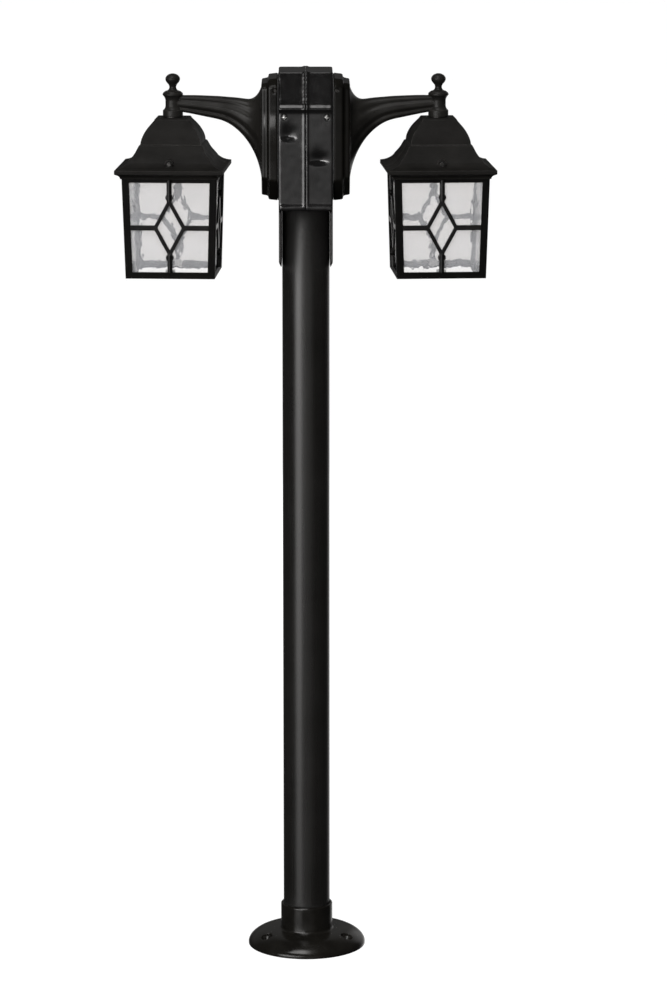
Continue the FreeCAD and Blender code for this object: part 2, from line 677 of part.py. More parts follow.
def arm_wire(x):
    """The arm's closed section at x: beads above and below, a ridge between, and two flutes."""
    out = REACH - x
    span = REACH - PLATE_FACE
    top = AXIS_Z + ARM_TOP_RISE - ARM_TOP_DROP * (out / (0.85 * span)) ** 2.5 + flare(x, ROOT_TOP)
    under = AXIS_Z - ARM_UNDER_DROP - ARM_UNDER_SLOPE * out - flare(x, ROOT_UNDER)
    half_w = ARM_HALF_WIDTH + ARM_WIDENING * out + flare(x, ROOT_SIDE)
    middle, half_h = 0.5 * (top + under), 0.5 * (top - under)
    depth = FLUTE_DEPTH * min(1.0, 3.0 * ARM_HALF_WIDTH / (half_w + half_h))
    points = []
    for i in range(ARM_SECTION_POINTS):
        angle = 2 * math.pi * i / ARM_SECTION_POINTS
        s = math.sin(angle)
        flute = depth * math.exp(-((abs(s) - FLUTE_PLACE) / FLUTE_SPREAD) ** 2)
        side = math.copysign(abs(math.cos(angle)) ** 0.75, math.cos(angle))
        points.append(V(x, half_w * side * (1 - flute), middle + half_h * s))
    curve = Part.BSplineCurve()
    knots = [float(i) for i in range(ARM_SECTION_POINTS + 1)]
    curve.interpolate(Points=points, PeriodicFlag=True, Parameters=knots)
    return Part.Wire(curve.toShape())


def arm():
    start = REACH - 0.6 * BOSS_WAIST_R
    length = start - PLATE_FACE
    stations = [PLATE_FACE + length * (i / ARM_SECTIONS) ** 1.8 for i in range(ARM_SECTIONS + 1)]
    beam = Part.makeLoft([arm_wire(x) for x in stations], True, False)
    boss = lathe(
        (0, BOSS_BOTTOM),
        [(BOSS_FLANGE_R - 0.5, BOSS_BOTTOM)],
        [(BOSS_FLANGE_R - 0.15, BOSS_BOTTOM + 0.15), (BOSS_FLANGE_R, BOSS_BOTTOM + 0.5)],
        [(BOSS_FLANGE_R, BOSS_BOTTOM + 7.6)],
        [(BOSS_WAIST_R + 0.7, BOSS_BOTTOM + 10.6), (BOSS_WAIST_R, BOSS_BOTTOM + 14.0)],
        [(BOSS_WAIST_R, BOSS_TOP - 9.6)],
        [(BOSS_WAIST_R + 0.9, BOSS_TOP - 6.6), (BOSS_FLANGE_R, BOSS_TOP - 3.4)],
        [(BOSS_FLANGE_R + 0.1, BOSS_TOP - 1.7), (BOSS_FLANGE_R - 0.9, BOSS_TOP)],
        [(0, BOSS_TOP)],
    )
    boss.translate(V(REACH, 0, 0))
    casting = beam.fuse(boss)
    casting = casting.cut(rod(STEM_R + SWIVEL_GAP, BOSS_BOTTOM - 1, BOSS_TOP + 1, REACH))
    casting = casting.cut(rod_x(ARM_WIRE_R, PLATE_FACE - 1, REACH, 0, AXIS_Z))
    for z in arm_screw_heights():
        end = PLATE_FACE + ARM_SCREW_GRIP + 1
        casting = casting.cut(rod_x(ARM_SCREW_R + THREAD_GAP, PLATE_FACE - 1, end, 0, z))
    return casting.removeSplitter()


# -------------------------------------------------- lantern: stem and finial
def finial():
    z = BOSS_TOP + FACE_GAP
    knob = lathe(
        (0, z),
        [(BOSS_FLANGE_R - 1.6, z)],
        [(BOSS_FLANGE_R - 2.2, z + 0.9), (6.4, z + 2.7), (4.5, z + 5.2), (4.4, z + 7.6),
         (5.5, z + 10.1), (7.6, z + 12.6), (8.95, z + 15.1), (9.15, z + 17.6), (8.0, z + 20.1),
         (4.2, z + 22.9), (0, z + 23.7)],
    )
    stud = rod(STEM_BORE_R - THREAD_GAP, z - FINIAL_STUD_LENGTH, z)
    return knob.fuse(stud).removeSplitter()


def stem_nipple():
    low = AXIS_Z - STEM_LOW_DROP
    pipe = tube(STEM_R, STEM_BORE_R, low, BOSS_TOP)
    return pipe.cut(rod_x(STEM_WINDOW_R, -STEM_R - 1, 0, 0, AXIS_Z))


def stem_washer():
    return tube(WASHER_R, STEM_R + THREAD_GAP, ROOF_TOP, ROOF_TOP + WASHER_T)


def stem_nut():
    high = ROOF_TOP - ROOF_T
    nut = hexagon(STEM_NUT_R, high - STEM_NUT_H, high)
    return nut.cut(rod(STEM_R + THREAD_GAP, high - STEM_NUT_H - 1, high + 1))


# ------------------------------------------------------------- lantern: roof
def square_bell(*half_outline):
    """A square roof whose outline is the same seen from each side."""
    half = outline(*half_outline).extrude(V(0, 2 * FAR, 0))
    half.translate(V(0, -FAR, 0))
    ridge = half.fuse(mirrored(half)).removeSplitter()
    return ridge.common(spun(ridge, 90))


def roof():
    rim, top = ROOF_RIM, ROOF_TOP
    dx, dz = ROOF_INSET
    bell = [(25.2, top - 6.4), (29.2, top - 11.1), (32.4, top - 15.8), (34.9, top - 20.6),
            (36.8, top - 25.5), (37.8, top - 31.8)]
    skirt = [(41.9, rim + 35.2), (44.5, rim + 30.3), (48.0, rim + 25.6), (52.4, rim + 19.4)]
    cove_mid = (0.5 * (skirt[-1][0] + EAVE_HALF) - 1.0, rim + 14.2)
    outside = square_bell(
        (0, rim),
        [(0, top)],
        [(19.4, top)],
        [(20.9, top - 0.7), (21.7, top - 2.3)],
        bell,
        [(39.8, rim + 39.3)],
        skirt,
        [cove_mid, (EAVE_HALF - 0.8, rim + EAVE_HIGH)],
        [(EAVE_HALF - 0.2, rim + EAVE_HIGH - 0.3), (EAVE_HALF, rim + EAVE_HIGH - 0.9)],
        [(EAVE_HALF, rim + EAVE_LOW + 0.6)],
        [(EAVE_HALF - 0.2, rim + EAVE_LOW + 0.2), (EAVE_HALF - 0.7, rim + EAVE_LOW)],
        [(EAVE_HALF - 3.4, rim + 4.8)],
        [(EAVE_HALF - 5.8, rim + 3.0), (EAVE_HALF - 6.8, rim)],
    )
    boss_z = rim + ROOF_SCREW_RISE
    for side in (0, 180):
        boss = rod_y(ROOF_BOSS_R, -ROOF_BOSS_REACH, 0, 0, boss_z)
        hood = rod_y(ROOF_HOOD_R, -ROOF_HOOD_REACH, 0, 0, boss_z)
        hood = hood.cut(block(-FAR, FAR, -FAR, FAR, boss_z - FAR, boss_z))
        hood = hood.cut(rod_y(ROOF_BOSS_R - 0.5, -FAR, -ROOF_BOSS_REACH, 0, boss_z))
        outside = outside.fuse(spun(boss.fuse(hood), side))
    inside = square_bell(
        (0, rim - 1),
        [(0, top - ROOF_T)],
        [(21.7 - dx, top - ROOF_T)],
        [(21.7 - dx + 0.4, top - ROOF_T - 0.8)],
        [(x - dx, z - dz) for x, z in bell],
        [(39.8 - dx, rim + 39.3 - dz)],
        [(x - dx, z - dz) for x, z in skirt],
        [(ROOF_BORE_HALF, rim + 0.5 * (EAVE_HIGH + EAVE_LOW))],
        [(ROOF_BORE_HALF, rim - 1)],
    )
    shell = outside.cut(inside)
    shell = shell.cut(rod(STEM_R + THREAD_GAP, top - ROOF_T - 1, top + 1))
    shell = shell.cut(rod_y(ROOF_SCREW_R + THREAD_GAP, -FAR, FAR, 0, boss_z))
    return shell.removeSplitter()


def roof_screws():
    """Pan-headed screws through the front and back of the roof into the cage's tabs."""
    face = ROOF_BOSS_REACH
    end = CAGE_TOP_HALF - TAB_IN - TAB_T
    z = ROOF_RIM + ROOF_SCREW_RISE
    shank = rod_y(ROOF_SCREW_R, -face, -end, 0, z)
    head = rod_y(ROOF_SCREW_HEAD_R, -face - ROOF_SCREW_HEAD_H, -face, 0, z)
    head = head.makeFillet(0.9, [e for e in head.Edges if e.BoundBox.YMax < -face - 1])
    slot = block(-0.4, 0.4, -face - 2 * ROOF_SCREW_HEAD_H, -face - 0.5 * ROOF_SCREW_HEAD_H,
                 z - 5, z + 5)
    screw = shank.fuse(head).cut(slot).removeSplitter()
    return group([screw, spun(screw, 180)])


# ------------------------------------------------------------- lantern: cage
def cage_half(z):
    taper = (CAGE_TOP_HALF - CAGE_BOTTOM_HALF) / CAGE_HEIGHT
    return CAGE_BOTTOM_HALF + taper * (z - CAGE_FOOT)


def frustum(inset, z_low, z_high):
    wires = []
    for z in (z_low, z_high):
        a = cage_half(z) - inset
        corners = [V(-a, -a, z), V(a, -a, z), V(a, a, z), V(-a, a, z)]
        wires.append(Part.makePolygon(corners + [corners[0]]))
    return Part.makeLoft(wires, True, True)


def taper_prism(inset, z_low, z_high):
    """A prism along Y that follows the cage's tapered sides."""
    low, high = cage_half(z_low) - inset, cage_half(z_high) - inset
    return prism_y([(-low, z_low), (low, z_low), (high, z_high), (-high, z_high)], -FAR, FAR)


def window():
    return taper_prism(STILE_W, WINDOW_LOW, WINDOW_HIGH)


def cage():
    box = frustum(0, CAGE_FOOT, CAGE_HEAD)
    corners = [e for e in box.Edges if e.BoundBox.ZLength > 0.5 * CAGE_HEIGHT]
    box = box.makeFillet(CAGE_CORNER_ROUND, corners)
    well = frustum(LEDGE_W, CAGE_FOOT - 1, CAGE_HEAD + 1)
    room = frustum(CAGE_WALL, CAGE_FOOT + LEDGE_T, CAGE_HEAD - LEDGE_T)
    throat = frustum(TAB_IN + TAB_T, CAGE_HEAD - LEDGE_T - 1, CAGE_HEAD + 1)
    box = box.cut([well.common(block(-FAR, FAR, -FAR, FAR, CAGE_FOOT - 1, ROOF_RIM)), room, throat])
    box = box.cut([window(), spun(window(), 90)])
    tab_face = CAGE_TOP_HALF - TAB_IN
    screw_z = ROOF_RIM + ROOF_SCREW_RISE
    tab = block(-0.5 * TAB_W, 0.5 * TAB_W, -tab_face, -tab_face + TAB_T,
                CAGE_HEAD - 0.5 * LEDGE_T, ROOF_RIM + TAB_TOP_RISE)
    tab = tab.cut(rod_y(ROOF_SCREW_R + THREAD_GAP, -FAR, 0, 0, screw_z))
    return box.fuse([tab, spun(tab, 180)]).removeSplitter()


# ------------------------------------------------- lantern: panes and grilles
def pane_ring():
    low, high = CAGE_FOOT + LEDGE_T + PANE_GAP, CAGE_HEAD - LEDGE_T - PANE_GAP
    outer = CAGE_WALL + 0.5 * PANE_GAP
    return frustum(outer, low, high).cut(frustum(outer + PANE_T, low - 1, high + 1))


def broad_pane():
    """The front pane, as wide as the cage inside."""
    inner = CAGE_WALL + 0.5 * PANE_GAP + PANE_T
    low, high = CAGE_FOOT, CAGE_HEAD
    side_zone = prism_x([(-cage_half(low) + inner, low), (FAR, low),
                         (FAR, high), (-cage_half(high) + inner, high)], -FAR, FAR)
    return pane_ring().cut(side_zone)


def narrow_pane():
    """The right-hand pane, which fits between the front and back ones."""
    inset = CAGE_WALL + PANE_T + PANE_GAP
    between = spun(taper_prism(inset, CAGE_FOOT, CAGE_HEAD), 90)
    return pane_ring().common(between).common(block(0, FAR, -FAR, FAR, 0, 2 * HEAD_TOP))


def pane_clips():
    """One clip on each side of the bottom ledge, behind its pane."""
    y = CAGE_BOTTOM_HALF - CAGE_WALL - PANE_T - 2 * PANE_GAP
    z = CAGE_FOOT + LEDGE_T
    upright = block(-0.5 * CLIP_W, 0.5 * CLIP_W, -y, -y + 0.5 * CLIP_T, z, z + CLIP_H)
    foot = block(-0.5 * CLIP_W, 0.5 * CLIP_W, -y, -y + 1.5 * CLIP_T, z, z + 0.5 * CLIP_T)
    clip = upright.fuse(foot).removeSplitter()
    return group([spun(clip, 90 * i) for i in range(4)])


def grille(frame):
    """The front grille: a diamond in a cross, with a rod and a knob above and below."""
    z = DIAMOND_Z
    w, h = DIAMOND_HALF_W, DIAMOND_HALF_H
    inner = 1 - DIAMOND_BAR_W * math.hypot(w, h) / (w * h)
    bar = 0.5 * BAR_W
    wide = prism_y([(-w, z), (0, z - h), (w, z), (0, z + h)], -FAR, 0)
    hole = prism_y([(-inner * w, z), (0, z - inner * h), (inner * w, z), (0, z + inner * h)], -FAR, 0)
    cross = block(-FAR, FAR, -FAR, 0, z - bar, z + bar)
    upright = block(-bar, bar, -FAR, 0, WINDOW_LOW - 1, WINDOW_HIGH + 1)
    pattern = wide.fuse([cross, upright]).cut(hole)
    sheet = frustum(0, CAGE_FOOT, CAGE_HEAD).cut(frustum(BAR_T, CAGE_FOOT - 1, CAGE_HEAD + 1))
    flat = sheet.common(pattern).common(window())
    rods = [leaning_rod(ROD_TOP_R, z + h - DIAMOND_BAR_W, ROOF_RIM - ROD_TOP_GAP),
            leaning_rod(ROD_LOW_R, WINDOW_LOW, z - h + DIAMOND_BAR_W)]
    knobs = [knob(KNOB_TOP_R, z + KNOB_TOP_RISE, False), knob(KNOB_LOW_R, z - KNOB_LOW_DROP, True)]
    back_of_bars = frustum(BAR_T, CAGE_FOOT - 1, CAGE_HEAD + 1)
    return flat.fuse(rods + knobs).cut([back_of_bars, frame]).removeSplitter()


def leaning_rod(radius, z_low, z_high):
    """A round rod that lies along the cage's tapered front."""
    low = V(0, -cage_half(z_low) - ROD_PROUD, z_low)
    high = V(0, -cage_half(z_high) - ROD_PROUD, z_high)
    return Part.makeCylinder(radius, (high - low).Length, low, high - low)


def knob(radius, z, ringed):
    face = cage_half(z) + KNOB_PROUD + ROD_PROUD
    body = rod_y(radius, -face, -face + KNOB_PROUD + BAR_T + 1, 0, z)
    body = body.makeFillet(0.7, [e for e in body.Edges if e.BoundBox.YMax < -face + 0.1
                                 and e.BoundBox.XLength > radius])
    if ringed:
        r_in, r_out, depth = KNOB_RING
        groove = rod_y(r_out, -face - 1, -face + depth, 0, z)
        groove = groove.cut(rod_y(r_in, -face - 2, -face + depth + 1, 0, z))
        body = body.cut(groove)
    return body


# ------------------------------------------------------ lantern: lampholders
def lampholder():
    cavity_r = LAMP_THREAD_R + LAMP_SHELL_T + THREAD_GAP
    low, top = HOLDER_LOW, HOLDER_TOP
    shoulder = top - HOLDER_NECK_H
    return lathe(
        (cavity_r, low),
        [(HOLDER_RIM_R, low)],
        [(HOLDER_RIM_R, low + HOLDER_RIM_H)],
        [(HOLDER_R, low + HOLDER_RIM_H)],
        [(HOLDER_R, shoulder - 4)],
        [(HOLDER_R - 1.2, shoulder - 1.2), (HOLDER_R - 4, shoulder)],
        [(HOLDER_NECK_R, shoulder)],
        [(HOLDER_NECK_R, top)],
        [(STEM_R + THREAD_GAP, top)],
        [(STEM_R + THREAD_GAP, AXIS_Z - STEM_LOW_DROP)],
        [(STEM_BORE_R, AXIS_Z - STEM_LOW_DROP)],
        [(STEM_BORE_R, low + HOLDER_CAVITY_DEPTH + 2)],
        [(0, low + HOLDER_CAVITY_DEPTH + 2)],
        [(0, low + HOLDER_CAVITY_DEPTH)],
        [(cavity_r, low + HOLDER_CAVITY_DEPTH)],
    )


def lamp_contacts():
    """The screw shell that grips the lamp's cap, and the centre contact above it."""
    low = HOLDER_LOW + LAMP_SHELL_DEPTH
    shell = tube(LAMP_THREAD_R + LAMP_SHELL_T, LAMP_THREAD_R, low, low + LAMP_SHELL_LENGTH)
    roof_z = HOLDER_LOW + HOLDER_CAVITY_DEPTH
    contact = rod(CONTACT_R, roof_z - CONTACT_H, roof_z)
    return group([shell, contact])


# ------------------------------------------------------------------ assembly
def lantern():
    """Every piece that turns with the right-hand lantern, about the stem at the origin."""
    frame = cage()
    front_grille = grille(frame)
    front_pane = broad_pane()
    outer_pane = narrow_pane()
    return {
        "finial": finial(),
        "stem_nipple": stem_nipple(),
        "stem_washer": stem_washer(),
        "stem_nut": stem_nut(),
        "roof": roof(),
        "roof_screws": roof_screws(),
        "lampholder": lampholder(),
        "lamp_contacts": lamp_contacts(),
        "cage": frame,
        "pane_clips": pane_clips(),
        "grille_front": front_grille,
        "grille_outer": spun(front_grille, 90),
        "grille_back": spun(front_grille, 180),
        "grille_inner": spun(front_grille, 270),
        "pane_front": front_pane,
        "pane_back": spun(front_pane, 180),
        "pane_outer": outer_pane,
        "pane_inner": spun(outer_pane, 180),
    }


def sided(name, right_shape):
    """The same piece on both sides of the post."""
    return {"right_" + name: right_shape, "left_" + name: mirrored(right_shape)}


def assembly():
    nodes = {
        "base_flange": base_flange(),
        "base_set_screws": base_set_screws(),
        "cable_grommet": cable_grommet(),
        "post_tube": post_tube(),
        "head_joining_plates": joining_plates(),
        "head_joining_screws": joining_screws(),
        "head_clamp_bolts": clamp_bolts(),
        "head_clamp_nuts": clamp_nuts(),
        "terminal_bracket": terminal_bracket(),
        "terminal_block": terminal_block(),
        "backplate_grub_screws": grub_screws(),
    }
    nodes.update(sided("head_shell", head_shell()))
    nodes.update(sided("gasket", gasket()))
    nodes.update(sided("backplate", backplate()))
    nodes.update(sided("backplate_screws", plate_screws()))
    nodes.update(sided("arm", arm()))
    nodes.update(sided("arm_screws", arm_screws()))
    for name, shape in lantern().items():
        placed = spun(shape, LANTERN_YAW_DEG)
        placed.translate(V(REACH, 0, 0))
        nodes.update(sided(name, placed))
    return nodes


os.makedirs("parts", exist_ok=True)
for node, shape in assembly().items():
    for solid in shape.Solids:
        assert solid.isValid() and solid.isClosed(), node
    shape.exportStep("parts/" + node + ".step")
    print(node, len(shape.Solids), round(shape.Volume), [round(v, 1) for v in (
        shape.BoundBox.XMin, shape.BoundBox.XMax, shape.BoundBox.YMin, shape.BoundBox.YMax,
        shape.BoundBox.ZMin, shape.BoundBox.ZMax)])
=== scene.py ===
import json
import math

import bmesh
import bpy
import numpy as np
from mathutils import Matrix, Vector, noise


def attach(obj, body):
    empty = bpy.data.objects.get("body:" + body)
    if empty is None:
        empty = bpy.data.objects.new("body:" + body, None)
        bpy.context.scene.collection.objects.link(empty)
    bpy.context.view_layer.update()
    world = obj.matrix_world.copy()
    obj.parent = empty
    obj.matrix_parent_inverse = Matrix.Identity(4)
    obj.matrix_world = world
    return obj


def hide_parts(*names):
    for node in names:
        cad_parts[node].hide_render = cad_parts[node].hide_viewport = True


# Looks for the two-lantern garden lamp post: paint, glass, studio and camera.
# Metres, in the CAD's own frame: +Z up, the viewer stands towards -Y.

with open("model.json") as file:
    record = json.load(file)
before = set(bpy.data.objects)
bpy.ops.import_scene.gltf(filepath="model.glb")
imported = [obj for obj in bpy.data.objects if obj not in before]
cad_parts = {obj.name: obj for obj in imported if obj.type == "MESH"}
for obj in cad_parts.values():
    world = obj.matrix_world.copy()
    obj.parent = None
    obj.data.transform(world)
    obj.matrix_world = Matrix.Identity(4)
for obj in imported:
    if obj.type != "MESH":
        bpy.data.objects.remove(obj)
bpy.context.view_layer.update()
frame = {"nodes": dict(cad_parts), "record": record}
nodes = frame["nodes"]
SIDES = ("left", "right")
PLACES = ("front", "back", "outer", "inner")

# ------------------------------------------------------------------- camera
CAMERA_DISTANCE = 5.0335
CAMERA_HEIGHT = 1.5871
CAMERA_PITCH_DEG = 11.2015
CAMERA_YAW_DEG = -0.399
CAMERA_LENS = 144.0
CAMERA_SENSOR = 36.0

# ------------------------------------------------------------------- studio
FLOOR_SIZE = 160.0
WALL_HEIGHT = 40.0
FLOOR_COLOUR = (0.10, 0.10, 0.10, 1.0)
FLOOR_GLOW = 0.96

# -------------------------------------------------------------------- glass
PANE_CELL = 0.0012          # grid of a rippled pane
RIPPLE_HEIGHT = 0.00026
RIPPLE_SCALE = 0.011
PANE_SKIN = 0.0004          # how far the rippled faces stay inside the CAD pane's faces
PANE_MARGIN = 0.0002        # and its rim inside the CAD pane's rim
CALM_CELLS = 3.0            # the ripples grow to full height over this many cells
END_BAND = 0.002            # points this near the foot or head give the pane's width there


# ------------------------------------------------------------ node material
class Shader:
    """A small builder for a procedural material."""

    def __init__(self, name):
        self.material = bpy.data.materials.new(name)
        self.material.use_nodes = True
        self.tree = self.material.node_tree
        self.bsdf = self.tree.nodes["Principled BSDF"]
        self.place = self.tree.nodes.new("ShaderNodeTexCoord").outputs["Object"]

    def add(self, kind, **settings):
        node = self.tree.nodes.new("ShaderNode" + kind)
        for key, value in settings.items():
            setattr(node, key, value)
        return node

    def link(self, source, target):
        self.tree.links.new(source, target)

    def set(self, **values):
        for key, value in values.items():
            self.bsdf.inputs[key.replace("_", " ")].default_value = value

    def stretched(self, scale):
        """Object coordinates scaled by a triple, for streaks."""
        mapping = self.add("Mapping")
        mapping.inputs["Scale"].default_value = scale
        self.link(self.place, mapping.inputs["Vector"])
        return mapping.outputs["Vector"]

    def noise(self, scale, detail=4.0, rough=0.5, vector=None):
        node = self.add("TexNoise")
        node.inputs["Scale"].default_value = scale
        node.inputs["Detail"].default_value = detail
        node.inputs["Roughness"].default_value = rough
        self.link(vector or self.place, node.inputs["Vector"])
        return node.outputs["Fac"]

    def ramp(self, value, low, high, colour_low, colour_high):
        node = self.add("ValToRGB")
        ends = node.color_ramp.elements
        ends[0].position, ends[1].position = low, high
        ends[0].color, ends[1].color = colour_low, colour_high
        self.link(value, node.inputs["Fac"])
        return node.outputs["Color"]

    def spread(self, value, from_low, from_high, to_low, to_high):
        node = self.add("MapRange")
        node.inputs["From Min"].default_value = from_low
        node.inputs["From Max"].default_value = from_high
        node.inputs["To Min"].default_value = to_low
        node.inputs["To Max"].default_value = to_high
        self.link(value, node.inputs["Value"])
        return node.outputs["Result"]

    def mix(self, amount, colour_a, colour_b):
        node = self.add("Mix", data_type="RGBA")
        # A colour Mix node keeps its factor in socket 0 and its two colours in 6 and 7.
        for number, source in ((0, amount), (6, colour_a), (7, colour_b)):
            socket = node.inputs[number]
            if isinstance(source, (tuple, float)):
                socket.default_value = source
            else:
                self.link(source, socket)
        return node.outputs[2]

    def sum(self, a, b, weight):
        """a + b * weight."""
        node = self.add("Math", operation="MULTIPLY_ADD")
        node.inputs[1].default_value = weight
        self.link(b, node.inputs[0])
        self.link(a, node.inputs[2])
        return node.outputs["Value"]

    def bump(self, height, distance, strength=1.0, under=None):
        node = self.add("Bump")
        node.inputs["Strength"].default_value = strength
        node.inputs["Distance"].default_value = distance
        self.link(height, node.inputs["Height"])
        if under is not None:
            self.link(under, node.inputs["Normal"])
        return node.outputs["Normal"]

    def edges(self, radius):
        """About 1 on sharp edges and 0 on flats, from a rounded normal."""
        bevel = self.add("Bevel", samples=4)
        bevel.inputs["Radius"].default_value = radius
        normal = self.add("NewGeometry").outputs["Normal"]
        dot = self.add("VectorMath", operation="DOT_PRODUCT")
        self.link(bevel.outputs["Normal"], dot.inputs[0])
        self.link(normal, dot.inputs[1])
        return self.spread(dot.outputs["Value"], 0.97, 0.80, 0.0, 1.0), bevel.outputs["Normal"]


def paint(name, colour, edge_wear_and_highlight, roughness, grain, grain_height, orange_peel, specular, rounding=0.0011):
    """Black paint over metal: colour drift, orange peel, cast grain below it and thin lighter edges, which
    are rubbed wear and, on the roof, a painted highlight along the ridges.
    """
    s = Shader(name)
    drift = s.noise(28.0, 5.0, 0.6)
    dark = tuple(0.72 * c for c in colour) + (1.0,)
    light = tuple(1.3 * c for c in colour) + (1.0,)
    base = s.ramp(drift, 0.34, 0.68, dark, light)
    edge, round_normal = s.edges(rounding)
    breakup = s.noise(420.0, 3.0, 0.7)
    # Lighter edges: rubbed wear, and on the roof a painted highlight along its ridges.
    lit_and_rubbed_edges = s.add("Math", operation="MULTIPLY")
    s.link(edge, lit_and_rubbed_edges.inputs[0])
    s.link(s.spread(breakup, 0.38, 0.62, 0.15, 1.0), lit_and_rubbed_edges.inputs[1])
    s.link(s.mix(lit_and_rubbed_edges.outputs["Value"], base, tuple(edge_wear_and_highlight) + (1.0,)), s.bsdf.inputs["Base Color"])
    smear = s.noise(55.0, 4.0, 0.6)
    rough = s.spread(smear, 0.3, 0.7, roughness - 0.07, roughness + 0.08)
    s.link(s.sum(rough, lit_and_rubbed_edges.outputs["Value"], -0.06), s.bsdf.inputs["Roughness"])
    fine = s.bump(s.noise(grain, 3.0, 0.6), grain_height, 0.6, round_normal)
    s.link(s.bump(s.noise(190.0, 2.0, 0.4), orange_peel, 0.5, fine), s.bsdf.inputs["Normal"])
    s.set(Metallic=0.0, Specular_IOR_Level=specular)
    return s.material


def tube_paint(name):
    """Satin paint on drawn tube: faint streaks along its length, and painted shade where other parts are
    near, darkest and dullest under the head and between its cheeks.
    """
    s = Shader(name)
    streak = s.noise(60.0, 4.0, 0.55, s.stretched((1.0, 1.0, 0.04)))
    blot = s.noise(14.0, 4.0, 0.6)
    dark, light = (0.0040, 0.0038, 0.0034, 1.0), (0.0075, 0.0072, 0.0067, 1.0)
    base = s.ramp(s.sum(blot, streak, 0.5), 0.45, 1.0, dark, light)
    # Painted shade: an occlusion mask darkens the paint colour and raises its roughness where other parts
    # are near.
    shade_occlusion = s.add("AmbientOcclusion", samples=8)
    shade_occlusion.inputs["Distance"].default_value = 0.055
    painted_shade = s.spread(shade_occlusion.outputs["AO"], 0.68, 0.98, 1.0, 0.0)
    # The painted shade colour, mixed in where that mask is high.
    s.link(s.mix(painted_shade, base, (0.0022, 0.0020, 0.0018, 1.0)), s.bsdf.inputs["Base Color"])
    rough = s.spread(streak, 0.3, 0.7, 0.22, 0.32)
    s.link(s.sum(rough, painted_shade, 0.65), s.bsdf.inputs["Roughness"])
    peel = s.bump(s.noise(240.0, 2.0, 0.5), 0.00004, 0.5)
    s.link(s.bump(s.noise(900.0, 2.0, 0.6), 0.00003, 0.4, peel), s.bsdf.inputs["Normal"])
    s.set(Specular_IOR_Level=0.42)
    return s.material


def metal(name, colour, roughness):
    """Plated or blackened metal with a fine brushed grain and dulled patches."""
    s = Shader(name)
    grain = s.noise(700.0, 3.0, 0.6, s.stretched((1.0, 1.0, 8.0)))
    dull = s.noise(90.0, 4.0, 0.6)
    dark = tuple(0.75 * c for c in colour) + (1.0,)
    s.link(s.ramp(dull, 0.35, 0.7, dark, tuple(colour) + (1.0,)), s.bsdf.inputs["Base Color"])
    s.link(s.spread(grain, 0.3, 0.7, roughness - 0.08, roughness + 0.1), s.bsdf.inputs["Roughness"])
    s.link(s.bump(grain, 0.00003, 0.5), s.bsdf.inputs["Normal"])
    s.set(Metallic=1.0)
    return s.material


def moulded(name, colour, roughness, specular, speckle):
    """Rubber, phenolic or glazed ceramic: fine speckle, mottled gloss and a slight surface ripple."""
    s = Shader(name)
    spots = s.noise(600.0, 3.0, 0.7)
    dark = tuple((1 - speckle) * c for c in colour) + (1.0,)
    s.link(s.ramp(spots, 0.4, 0.65, dark, tuple(colour) + (1.0,)), s.bsdf.inputs["Base Color"])
    s.link(s.spread(s.noise(80.0), 0.3, 0.7, roughness - 0.06, roughness + 0.08), s.bsdf.inputs["Roughness"])
    s.link(s.bump(spots, 0.00004, 0.5), s.bsdf.inputs["Normal"])
    s.set(Specular_IOR_Level=specular)
    return s.material


def water_glass(name):
    """Clear glass with fine seeds and a patchy film of grey haze over it."""
    s = Shader(name)
    haze = s.noise(35.0, 4.0, 0.55)
    seeds = s.noise(900.0, 2.0, 0.5)
    tint = s.ramp(haze, 0.3, 0.75, (0.955, 0.935, 0.915, 1.0), (1.0, 0.985, 0.97, 1.0))
    s.link(tint, s.bsdf.inputs["Base Color"])
    s.link(s.spread(haze, 0.3, 0.75, 0.01, 0.05), s.bsdf.inputs["Roughness"])
    s.link(s.bump(seeds, 0.00006, 0.3), s.bsdf.inputs["Normal"])
    s.set(Transmission_Weight=1.0, IOR=1.45, Specular_IOR_Level=0.5)
    out = s.tree.nodes["Material Output"]
    veil = s.add("BsdfDiffuse")
    veil.inputs["Color"].default_value = (0.60, 0.61, 0.64, 1.0)
    blend = s.add("MixShader")
    s.link(s.spread(haze, 0.3, 0.75, 0.17, 0.22), blend.inputs["Fac"])
    s.link(s.bsdf.outputs["BSDF"], blend.inputs[1])
    s.link(veil.outputs["BSDF"], blend.inputs[2])
    s.link(blend.outputs["Shader"], out.inputs["Surface"])
    return s.material


